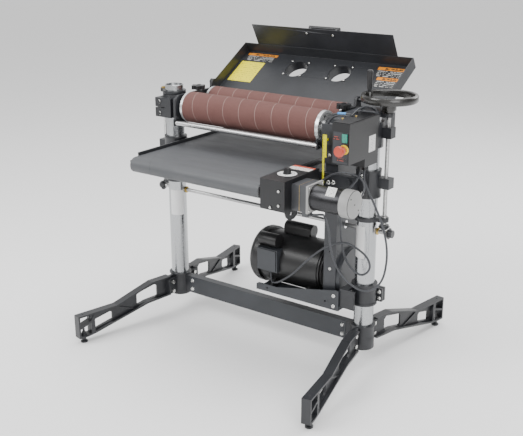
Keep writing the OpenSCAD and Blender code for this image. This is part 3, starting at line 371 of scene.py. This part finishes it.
def abrasive(name, y):
    """Red-brown abrasive cloth wound round the drum at y mm in a spiral, with pale seams."""
    m = Mat(name)
    px, py, pz = m.xyz()
    up, back = m.math("SUBTRACT", pz, DRUM_Z * MM), m.math("SUBTRACT", py, y * MM)
    turn = m.math("DIVIDE", m.math("ARCTAN2", up, back), 2 * math.pi)
    along = m.math("DIVIDE", px, WRAP_PITCH)
    phase = m.math("FRACT", m.math("ADD", m.math("SUBTRACT", along, turn), WRAP_START))
    seam = m.between(phase, 0.488, 0.512)
    edge = m.between(phase, 0.468, 0.492)
    grit = m.noise(900, 2)
    patch = m.noise(14, 3)
    c = m.mix(m.remap(grit, 0, 1, 0.35, 0.65), (0.075, 0.029, 0.025), (0.16, 0.068, 0.058))
    c = m.mix(m.remap(patch, 0, 0.35, 0.3, 0.7), c, (0.15, 0.072, 0.062))
    c = m.mix(m.math("MULTIPLY", edge, 0.6), c, (0.06, 0.024, 0.02))
    c = m.mix(m.math("MULTIPLY", seam, 0.55), c, (0.45, 0.33, 0.3))
    m.color(c)
    m.rough(0.85)
    h = m.math("ADD", grit, m.math("MULTIPLY", seam, 0.6))
    m.bump(h, 0.5, 0.0006)
    return m.m


def feed_cloth():
    """Fine grey abrasive belt with one slanting joint."""
    m = Mat("grey_feed_belt")
    px, py, _ = m.xyz()
    grit = m.noise(1400, 2)
    soft = m.noise(7, 3, (1, 3, 1))
    slant = m.math("ADD", m.math("MULTIPLY", py, 0.55), px)
    seam = m.between(slant, -0.5111, -0.5089)
    c = m.mix(m.remap(grit, 0, 1, 0.35, 0.65), (0.05, 0.052, 0.056), (0.095, 0.099, 0.106))
    c = m.mix(m.remap(soft, 0, 0.4, 0.3, 0.7), c, (0.066, 0.069, 0.074))
    c = m.mix(m.math("MULTIPLY", seam, 0.7), c, (0.03, 0.03, 0.032))
    m.color(c)
    m.rough(m.remap(soft, 0.5, 0.66))
    m.bump(grit, 0.25, 0.0003)
    return m.m


def enamel(m, mask):
    """Black enamel over the metal where mask is one."""
    metal = m.b.inputs["Base Color"].links[0].from_socket
    m.color(m.mix(mask, metal, (0.03, 0.031, 0.034)))
    m.wire(m.math("SUBTRACT", 1.0, mask), m.b.inputs["Metallic"])


def threaded(name):
    """Bright rod with a screw thread laid on by relief, with painted shade in its grooves and a painted
    highlight on its crests, and an enamelled bevel gear at its foot.
    """
    m = Mat(name)
    half_pitch = 0.0025
    pz = m.xyz()[2]
    h = m.math("DIVIDE", m.math("PINGPONG", pz, half_pitch), half_pitch)
    # painted shade and highlight: the colour is darker in the thread's grooves and lighter on its crests,
    # following the relief
    m.color(m.mix(h, (0.3, 0.3, 0.3), (0.7, 0.7, 0.69)))
    m.rough(m.remap(m.noise(200), 0.25, 0.4))
    m.bump(h, 0.9, 0.0012)
    gear_top = 0.5975
    enamel(m, m.math("LESS_THAN", pz, gear_top))
    return m.m


def lift_shaft_steel():
    """Turned bar with an enamelled bevel gear and hub at each end."""
    m = Mat("lift_shaft_steel")
    n = m.noise(14, 5, (60, 1, 1), 0.6)
    m.color(m.mix(m.remap(n, 0, 1), (0.46, 0.46, 0.46), (0.55, 0.55, 0.55)))
    m.rough(m.remap(n, 0.24, 0.38))
    m.bump(n, 0.1, 0.0002)
    gear_start = 0.5465
    off = m.math("ABSOLUTE", m.math("SUBTRACT", m.xyz()[0], MID_X))
    enamel(m, m.math("GREATER_THAN", off, gear_start))
    return m.m


def scale_print():
    """Yellow strip with dark graduations on its front: short ones at 1/8 inch, long ones at 1/2 inch."""
    m = Mat("yellow_scale_print")
    px, _, pz = m.xyz()
    x0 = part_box("depth_scale")[0][0]
    marks = []
    for step, thick, length in ((3.175, 0.22, 4.5), (12.7, 0.09, 9)):
        line = m.math("LESS_THAN", m.math("FRACT", m.math("DIVIDE", pz, step * MM)), thick)
        marks.append(m.both(line, m.math("LESS_THAN", px, x0 + length * MM)))
    ink = m.math("MAXIMUM", *marks)
    m.color(m.mix(m.math("MULTIPLY", ink, 0.75), (0.78, 0.72, 0.0), (0.05, 0.05, 0.02)))
    m.rough(m.remap(m.noise(90), 0.6, 0.7))
    return m.m


NODE_MATS = {
    M_STEEL: ["posts"],
    M_SHAFT: ["roller_infeed", "roller_outfeed", "motor_rotor"],
    lift_shaft_steel(): ["cross_shaft"],
    threaded("lead_screw_thread"): ["screw_left", "screw_right"],
    M_ZINC: ["base_bolts"],
    M_CAST: ["base_collars", "leg_front_left", "leg_front_right", "leg_rear_left", "leg_rear_right",
             "motor_bracket", "head_end_left", "head_end_right", "table_collars", "screw_brackets",
             "drum_bearings", "motor_pulley", "roller_brackets", "foot_front_left", "foot_front_right",
             "foot_rear_left", "foot_rear_right"],
    M_BEAM: ["cross_beam", "motor_tray", "junction_box"],
    M_SHEET: ["table_frame", "dust_ports"],
    M_GUARD: ["belt_guard"],
    M_MOTOR: ["motor_shell", "fan_cover", "capacitor_covers"],
    M_HOOD: ["hood", "hood_lip"],
    M_RIM: ["drum_front", "drum_rear"],
    M_ALLOY: ["feed_roller_front", "feed_roller_rear"],
    M_VBELT: ["drive_belt"],
    M_PLASTIC: ["head_knob_left", "head_knob_right", "hood_handle", "wheel_grip", "speed_knob"],
    M_BOX: ["switch_box", "control_box"],
    M_GEAR: ["feed_gearbox"],
    M_MOTORTUBE: ["feed_motor"],
    M_GREEN: ["start_button"],
    M_RED: ["stop_button"],
    scale_print(): ["depth_scale"],
    feed_cloth(): ["feed_belt"],
    paint("dark_handwheel", (0.014, 0.0135, 0.012), 0.24, 200, 0.1, coat=0.5): ["handwheel"],
    abrasive("abrasive_front", DRUM_YS[0]): ["wrap_front"],
    abrasive("abrasive_rear", DRUM_YS[1]): ["wrap_rear"],
}
for mat, names in NODE_MATS.items():
    for n in names:
        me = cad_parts[n].data
        if not me.materials:
            me.materials.append(mat)
        for i in range(len(me.materials)):
            me.materials[i] = mat

# width of the rounded edges of a node, in millimetres
SOFT_EDGES = {
    "cross_beam": 2.5, "leg_front_left": 2.0, "leg_front_right": 2.0, "leg_rear_left": 2.0,
    "leg_rear_right": 2.0, "base_collars": 1.5, "motor_bracket": 1.6, "motor_tray": 0.8,
    "junction_box": 2.0, "switch_box": 2.0, "control_box": 1.6, "feed_gearbox": 1.6,
    "table_collars": 1.6, "table_frame": 0.8, "head_end_left": 1.6, "head_end_right": 1.6,
    "screw_brackets": 1.2, "belt_guard": 0.8, "hood": 0.7, "hood_lip": 0.7, "handwheel": 1.2,
    "capacitor_covers": 1.5, "start_button": 1.0, "feed_motor": 1.0,
}
for n, w in SOFT_EDGES.items():
    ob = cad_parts[n]
    weld = ob.modifiers.new("weld", "WELD")
    weld.merge_threshold = 1e-5
    bev = ob.modifiers.new("edge", "BEVEL")
    bev.width = w * MM
    bev.segments = 2
    bev.limit_method = "ANGLE"
    bev.angle_limit = math.radians(40)


# ---------------------------------------------------------------- power leads
LEAD_TABLE = [(498, -86, 822), (498, -87, 808), (503, -92, 785), (520, -95, 752), (548, -95, 705),
              (578, -95, 645), (598, -90, 575), (606, -92, 510), (600, -100, 440), (578, -110, 397),
              (540, -120, 375), (498, -130, 384), (452, -140, 420), (424, -150, 468), (411, -162, 528),
              (412, -178, 595), (420, -212, 650), (432, -248, 682), (433, -273, 692),
              (421, -287, 693), (406, -288, 692)]
LEAD_MOTOR = [(490, -106, 822), (489, -107, 806), (476, -110, 780), (454, -112, 752), (438, -112, 722),
              (424, -108, 685), (414, -104, 645), (411, -95, 600), (414, -92, 539), (434, -100, 487),
              (467, -110, 450), (509, -115, 432), (542, -120, 448), (556, -125, 480), (541, -128, 514),
              (501, -130, 538), (454, -130, 548), (391, -130, 527), (335, -130, 486),
              (278, -125, 432), (209, -112, 361), (142, -98, 310), (100, -80, 288),
              (80, -63, 281), (67, -51, 288), (64, -48, 301), (64, -48, 316)]
LEAD_FEED = [(541, -208, 748), (541, -192, 749), (543, -175, 762), (543, -163, 786),
             (520, -154, 812), (480, -150, 820), (440, -148, 818), (402, -144, 804),
             (372, -140, 786), (351, -138, 769), (342, -138, 765), (334.1, -138, 765)]


def smooth_path(pts, n=8):
    """A smooth curve through the points, with n steps between each two."""
    p = [P(*c) for c in pts]
    out = []
    for i in range(len(p) - 1):
        a, b, c, d = p[max(i - 1, 0)], p[i], p[i + 1], p[min(i + 2, len(p) - 1)]
        for k in range(n):
            t = k / n
            out.append(0.5 * ((2 * b) + (c - a) * t + (2 * a - 5 * b + 4 * c - d) * t * t
                              + (3 * b - a - 3 * c + d) * t ** 3))
    return out + [p[-1]]


def tube_mesh(name, path, r, seg=12):
    """A round tube of radius r mm along path, and its length in metres."""
    verts = []
    u = axis_frame(path[1] - path[0])[0]
    for i, c in enumerate(path):
        d = (path[min(i + 1, len(path) - 1)] - path[max(i - 1, 0)]).normalized()
        u = (u - d * u.dot(d)).normalized()
        verts += ring(c, u, d.cross(u), r, seg)
    length = sum((b - a).length for a, b in zip(path, path[1:]))
    return auto_smooth(link(name, verts, ring_faces(len(path), seg), M_RUBBER), 60), length


def cable(name, pts, r, body=None, node=None):
    """A cord through the points; it rides on body and stands for node, where they are given."""
    path = smooth_path(pts)
    ob, length = tube_mesh(name, path, r)
    if body:
        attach(ob, body)
    if node:
        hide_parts(node)
    return ob


lead_table = cable("lead_to_table", LEAD_TABLE, 4, node="lead_table")
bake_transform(lead_table)
cable("lead_to_motor", LEAD_MOTOR, 4, "stand", "lead_motor")
cable("lead_to_feed_motor", LEAD_FEED, 3.5, "table", "lead_feed")

# ---------------------------------------------------------------- fasteners
DOME = [(0.1, 0), (8.5, 0), (8.6, 1.6), (7.9, 3.4), (6.2, 4.8), (4.2, 5.4),
        (3.6, 5.3), (3.3, 2.2), (0.1, 2.0)]


def screws(name, points, direction, scale, body):
    """Domed socket screws; their heads are scale times the size of DOME."""
    turned(name, [(p, direction) for p in points], [(r * scale, h * scale) for r, h in DOME], body, M_ZINC)


screws("arm_screws", [P(353, -92, 754), P(374, -92, 757)], FRONT, 1, "table")
screws("collar_screws", [P(478, -60, z) for z in (790, 724)], FRONT, 0.95, "table")
screws("tray_screws", [P(386, -90, z) for z in (306, 263)], FRONT, 1, "stand")
screws("guard_screw", [P(350, -62, 400), P(343, -72, 851)], FRONT, 0.8, "stand")
screws("head_clamp_screws", [P(-489, -75, z) for z in (957, 910)], FRONT, 1.05, "stand")
screws("bracket_clamp_screws", [P(520, 26, z) for z in (290, 316)], FRONT, 1, "stand")
screws("control_box_screws", [P(x, -354.5, z) for x, z in ((310, 775), (310, 722), (274, 710))],
       FRONT, 0.6, "table")
screws("gearbox_flange_screws", [P(404, GEAR_Y + a, GEAR_Z + b) for a in (-42, 42) for b in (-42, 42)],
       RIGHT, 0.5, "table")

turned("post_bush_rings",
       [(P(s * POST_X + k * 40.1, LIFT_Y, LIFT_Z), (k, 0, 0)) for s in (-1, 1) for k in (-1, 1)],
       [(8.2, 0), (14, 0), (14, 3), (10, 5.5), (8.2, 5.5)], "stand", M_BRASS)
turned("bearing_nuts", [(P(284.1, y, DRUM_Z), RIGHT) for y in DRUM_YS],
       [(13, 0), (21, 0), (21, 4), (18, 6), (13, 6)], "stand", M_DARK)
turned("stop_ring", [(P(515, STOP_Y, STOP_Z), FRONT)],
       [(8.2, 0), (16.8, 0), (16.8, 5), (15, 7), (8.2, 7)], "stand", M_YELLOW)
turned("screw_brass_nuts", [(P(-535, LIFT_Y, 999.05), UP)],
       [(7.7, 0), (13, 0), (13, 5), (7.7, 6)], "stand", M_BRASS)
turned("feed_motor_cap", [(P(524, GEAR_Y, GEAR_Z), RIGHT)],
       [(0.1, -0.5), (50.4, -0.5), (50.6, 2), (50.6, 34), (49, 37.4), (0.1, 37.4)], "table", M_CAP, 48)
turned("feed_cap_marks",
       [(P(561.3, GEAR_Y + a, GEAR_Z + b), RIGHT) for a, b in ((0, 0), (-26, 26), (26, -26))],
       [(0.1, 0), (3, 0), (3, 0.5), (0.1, 0.5)], "table", M_DARK, 16)
turned("feed_brush_cap", [(P(541, -310.3, GEAR_Z), FRONT)],
       [(0.1, 0), (10, 0), (10, 1.5), (7.5, 2.5), (7, 1.6), (0.1, 1.6)], "table", M_CAP)
plate("feed_motor_label", P(466, GEAR_Y - 38, GEAR_Z + 26), RIGHT, (0, 0.6, 0.8), 36, 34, 0.4, "table",
      label("motor_label_print", (0.78, 0.78, 0.76), (0.12, 0.12, 0.12), 7, (0.036, 0.034)))

# bright skin on the gearbox's flange plate: front edge, top edge and outer face, and the brass seam
blocks("gearbox_flange_face", [
    (395.7, 404.02, -310.6, -310.1, 698, 798),
    (395.7, 404.02, -310.5, -209.6, 797.6, 798.3),
    (403.6, 404.3, -310.2, -209.8, 697.8, 798.2)], "table", M_CAP)
blocks("gearbox_seam", [
    (365.9, 367.1, -308.2, -307, 700, 796.2),
    (365.9, 367.1, -308, -212, 795, 796.2)], "table", M_BRASS)

# ---------------------------------------------------------------- dial and prints
turned("dial_face", [(P(DIAL_X, DIAL_Y, 813.2), UP)],
       [(5.2, 0), (35.5, 0), (35.5, 0.6), (5.2, 0.6)], "table", M_WHITE, 48)
DIAL_START, DIAL_STEP = -135, 13.5
middle = P(DIAL_X, DIAL_Y, 813.85)
ticks = []
for k in range(21):
    a = math.radians(DIAL_START + DIAL_STEP * k)
    out = Vector((math.cos(a), math.sin(a), 0))
    side = Vector((-math.sin(a), math.cos(a), 0)) * 0.7 * MM
    inner, outer = (22, 31) if k % 5 == 0 else (25, 29)
    near = middle + out * inner * MM
    far = middle + out * outer * MM
    low = [near - side, far - side, far + side, near + side]
    ticks.append((low + [v + Vector(UP) * 0.3 * MM for v in low], BOX_FACES))
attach(link("dial_marks", *merge(ticks), M_DARK), "table")

M_BOXLABEL = label("box_label_print", (0.75, 0.74, 0.72), (0.5, 0.08, 0.05), 6, (0.092, 0.05),
                   header=(0.72, 0.1, 0.05))
plate("control_box_label", P(236, -190, 812.1), RIGHT, (0, 1, 0), 92, 50, 0.4, "table", M_BOXLABEL)
plate("switch_side_label", P(530.02, -118, 898), (0, 1, 0), UP, 45, 58, 0.4, "stand",
      label("switch_label_print", (0.75, 0.75, 0.74), (0.3, 0.3, 0.3), 10, (0.045, 0.058)))
M_REDPRINT = label("red_print", (0.012, 0.0125, 0.0145), (0.32, 0.05, 0.03), 2, (0.04, 0.016), 0.6)
plate("switch_print_low", P(482, -256.8, 890), RIGHT, UP, 44, 12, 0.3, "stand", M_REDPRINT)
plate("switch_print_high", P(467, -256.8, 963), RIGHT, UP, 25, 13, 0.3, "stand", M_REDPRINT)
# a thin dark plate painted as the shade inside the window near the top of the belt guard
plate("guard_window_painted_shade", P(333, -72.02, 866), RIGHT, UP, 14, 23, 0.3, "stand", M_DARK)
turned("switch_cap_screws", [(P(468, -198, 1025), UP), (P(487, -139, 1025), UP)],
       [(0.1, 0), (4, 0), (4, 2), (3, 3), (0.1, 3)], "stand", M_BRASS)
plate("switch_front_panel", P(468, -256.52, 883), RIGHT, UP, 58, 109, 0.2, "stand", M_GUARD)


def curved_label(name, x, z0, z1, a0, a1, mat):
    """A sticker on the front of a post; angles from the front, positive to the right."""
    steps, inner, outer = 16, 38.12, 38.35
    verts, faces = [], []
    for i in range(steps + 1):
        a = math.radians(a0 + (a1 - a0) * i / steps)
        verts += [P(x + r * math.sin(a), -r * math.cos(a), z) for z in (z0, z1) for r in (inner, outer)]
    for b in range(0, 4 * steps, 4):
        faces += [(b + 1, b + 5, b + 7, b + 3), (b, b + 2, b + 6, b + 4),
                  (b, b + 4, b + 5, b + 1), (b + 2, b + 3, b + 7, b + 6)]
    end = 4 * steps
    faces += [(0, 1, 3, 2), (end, end + 2, end + 3, end + 1)]
    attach(auto_smooth(link(name, verts, faces, mat)), "stand")


M_POSTLABEL = label("post_label_print", (0.72, 0.72, 0.72), (0.62, 0.6, 0.6), 12, (0.05, 0.12), 0.25)
curved_label("post_label_left", -POST_X, 456, 568, -10, 80, M_POSTLABEL)
curved_label("post_label_right", POST_X, 462, 588, -60, 20, M_POSTLABEL)

# ---------------------------------------------------------------- open hood
# SLOPE runs from the hinge edge to the free edge, OUT points away from the panel's inner face
SLOPE = Vector((0, math.cos(HOOD_TILT), math.sin(HOOD_TILT)))
OUT = Vector((0, -math.sin(HOOD_TILT), math.cos(HOOD_TILT)))


def on_hood(x, s, up):
    """A point s mm along the slope from the hinge edge and up mm above the rim of the hood's walls."""
    return P(x, HOOD_Y, HOOD_Z) + SLOPE * s * MM + OUT * up * MM


def on_panel(x, s, lift=0.25):
    """A point lift mm above the inner face of the hood's panel."""
    return on_hood(x, s, lift - HOOD_DEPTH)


plate("hood_label_yellow", on_panel(-403, 97), RIGHT, SLOPE, 124, 133, 0.3, "dust_hood",
      label("yellow_label_print", (0.8, 0.7, 0.0), (0.45, 0.4, 0.02), 11, (0.124, 0.133), 0.35))
for i, (x, s, w, h) in enumerate(((-400, 238, 158, 50), (262, 221, 124, 60), (286, 159, 96, 60))):
    plate(f"hood_label_{i}", on_panel(x, s), RIGHT, SLOPE, w, h, 0.3, "dust_hood",
          label(f"hood_label_print_{i}", (0.03, 0.03, 0.032), (0.5, 0.5, 0.48), 6, (w * MM, h * MM), 0.6,
                header=(0.72, 0.24, 0.01)))

# screws round the dust ports, and those that hold the handle on the lip
PORT_SCREW_R = 60
corners = [math.radians(45 + 90 * q) for q in range(4)]
screws("port_screws",
       [on_panel(k * PORT_X + PORT_SCREW_R * math.cos(a), PORT_S + PORT_SCREW_R * math.sin(a), 2.4)
        for k in (-1, 1) for a in corners], OUT, 0.6, "dust_hood")
LIP_UP = SLOPE * math.sin(LIP_TILT) + OUT * math.cos(LIP_TILT)
LIP_OUT = SLOPE * math.cos(LIP_TILT) - OUT * math.sin(LIP_TILT)
screws("handle_screws", [on_hood(k * HANDLE_X, HOOD_LEN, 0) + LIP_UP * HANDLE_Z * MM - LIP_OUT * 2.5 * MM
                         for k in (-1, 1)], -LIP_OUT, 0.62, "dust_hood")

# ---------------------------------------------------------------- cables over the switch box
# the two long ones pass under the wall of the shut hood
TOP_CABLES = [
    ([(322, -46, 925), (325, -50, 955), (330, -50, 980), (342, -50, 998), (364, -50, 1005), (392, -50, 1007),
      (421, -50, 1009), (444, -52, 1024), (466, -52, 1039), (485, -52, 1043), (510, -50, 1038),
      (523, -49, 1018), (525, -52, 985)], 4),
    ([(322, -56, 925), (326, -58, 955), (336, -60, 982), (360, -61, 998), (392, -66, 1004), (420, -72, 1006),
      (440, -82, 1020), (456, -90, 1031), (474, -92, 1034), (500, -84, 1034), (519, -68, 1030),
      (526, -50, 1016), (527, -50, 985)], 4),
    ([(474, -150, 1027), (475, -122, 1037), (478, -100, 1045), (486, -80, 1048), (504, -62, 1046),
      (518, -50, 1034), (521, -47, 1008), (520, -51, 984)], 3)]
for i, (pts, r) in enumerate(TOP_CABLES):
    cable(f"top_cable_{i}", pts, r, "stand")
turned("cable_tie", [(P(378, -50, 1006.2), (1, 0, 0.07))],
       [(4.2, -17), (4.9, -16), (4.9, 16), (4.2, 17)], "stand", M_BLUE)

# ---------------------------------------------------------------- stage
floor_mat = Mat("pale_floor")
floor_mat.color((0.92, 0.92, 0.92))
floor_mat.rough(0.7)
floor = link("floor", [(-30, -30, 0), (30, -30, 0), (30, 30, 0), (-30, 30, 0)], [(0, 1, 2, 3)], floor_mat.m)


def area(name, loc, aim_z, size, power):
    """A square soft light that points at the height aim_z on the origin's axis."""
    d = bpy.data.lights.new(name, "AREA")
    d.energy = power
    d.size = size
    o = bpy.data.objects.new(name, d)
    bpy.context.collection.objects.link(o)
    o.location = loc
    o.rotation_euler = (Vector((0, 0, aim_z)) - Vector(loc)).to_track_quat("-Z", "Y").to_euler()


area("key", (-2.2, -3.2, 3.6), 0.6, 2.6, 170)
area("fill", (3.6, -2.6, 2.2), 0.6, 2.4, 75)
area("top", (0.2, 0.4, 4.2), 0.5, 3.2, 120)
area("rim", (1.8, 3.4, 2.6), 0.7, 2.2, 70)

# the studio is darker to both sides of the camera, which gives the round bright parts their dark edges
world = bpy.data.worlds.new("studio")
bpy.context.scene.world = world
world.use_nodes = True
nt = world.node_tree
bg = next(n for n in nt.nodes if n.type == "BACKGROUND")
bg.inputs["Strength"].default_value = 1.15
coord = nt.nodes.new("ShaderNodeTexCoord")
sideways = nt.nodes.new("ShaderNodeVectorMath")
sideways.operation = "DOT_PRODUCT"
sideways.inputs[1].default_value = (math.cos(CAM_YAW), math.sin(CAM_YAW), 0)
either = nt.nodes.new("ShaderNodeMath")
either.operation = "ABSOLUTE"
ramp = nt.nodes.new("ShaderNodeMapRange")
for socket, value in (("From Min", 0.55), ("From Max", 0.95), ("To Min", 1), ("To Max", 0.22)):
    ramp.inputs[socket].default_value = value
nt.links.new(coord.outputs["Generated"], sideways.inputs[0])
nt.links.new(sideways.outputs["Value"], either.inputs[0])
nt.links.new(either.outputs[0], ramp.inputs["Value"])
nt.links.new(ramp.outputs["Result"], bg.inputs["Color"])
